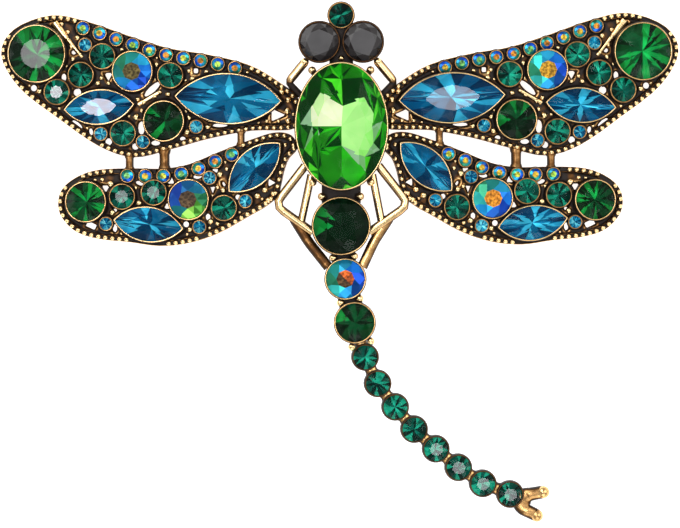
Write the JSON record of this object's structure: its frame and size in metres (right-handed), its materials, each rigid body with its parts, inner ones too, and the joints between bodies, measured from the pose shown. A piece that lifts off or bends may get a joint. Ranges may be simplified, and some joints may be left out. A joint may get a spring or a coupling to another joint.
{
  "type": "dragonfly brooch",
  "caption": "Jewelled dragonfly brooch: pierced antique gold wings and body, cut glass stones in raised settings, a curved forked tail and a plain pin at the back.",
  "frame": {"origin": "under the middle of the brooch, on the surface that it lies on", "axes": "+X towards the wings on the right of the picture, +Y towards the head, +Z out of the front, away from the surface"},
  "size_m": [0.0968, 0.0744, 0.0105],
  "materials": {
    "antique_gold": "antiqued gold plate, dark in the recesses",
    "pin_metal": "gold-toned steel, satin",
    "peridot_glass": "cut, foiled, bright green",
    "emerald_glass": "cut, foiled, emerald green",
    "dark_green_glass": "cut, foiled, dark green",
    "opal_glass": "cut, foiled, with a rainbow coat",
    "blue_glass": "cut, foiled, zircon blue",
    "turquoise_glass": "cut, foiled, turquoise",
    "black_glass": "cut, opaque, jet black"
  },
  "bodies": {
    "root": {"casting": "antique_gold", "pin_back": "pin_metal", "left_eye": "black_glass", "right_eye": "black_glass", "head_stone": "emerald_glass", "thorax_stone": "peridot_glass", "waist_stone": "emerald_glass", "abdomen_opal_stone": "opal_glass", "abdomen_green_stone": "dark_green_glass", "tail_stone_1": "emerald_glass", "tail_stone_2": "emerald_glass", "tail_stone_3": "emerald_glass", "tail_stone_4": "emerald_glass", "tail_stone_5": "emerald_glass", "tail_stone_6": "emerald_glass", "tail_stone_7": "emerald_glass", "tail_stone_8": "emerald_glass", "left_upper_tip_stone": "emerald_glass", "left_upper_opal_stone": "opal_glass", "left_upper_green_stone": "dark_green_glass", "left_upper_long_navette": "blue_glass", "left_upper_short_navette": "blue_glass", "right_upper_tip_stone": "emerald_glass", "right_upper_opal_stone": "opal_glass", "right_upper_green_stone": "dark_green_glass", "right_upper_long_navette": "blue_glass", "right_upper_short_navette": "blue_glass", "left_lower_tip_stone": "dark_green_glass", "left_lower_opal_stone": "opal_glass", "left_lower_edge_navette": "blue_glass", "left_lower_root_navette": "blue_glass", "right_lower_tip_stone": "dark_green_glass", "right_lower_opal_stone": "opal_glass", "right_lower_edge_navette": "blue_glass", "right_lower_root_navette": "blue_glass", "left_upper_emeralds": "emerald_glass", "left_upper_aquas": "turquoise_glass", "left_upper_opal_row": "opal_glass", "left_lower_emeralds": "emerald_glass", "left_lower_aquas": "turquoise_glass", "left_lower_opal_row": "opal_glass", "right_upper_emeralds": "emerald_glass", "right_upper_aquas": "turquoise_glass", "right_upper_opal_row": "opal_glass", "right_lower_emeralds": "emerald_glass", "right_lower_aquas": "turquoise_glass", "right_lower_opal_row": "opal_glass"}
  },
  "joints": []
}
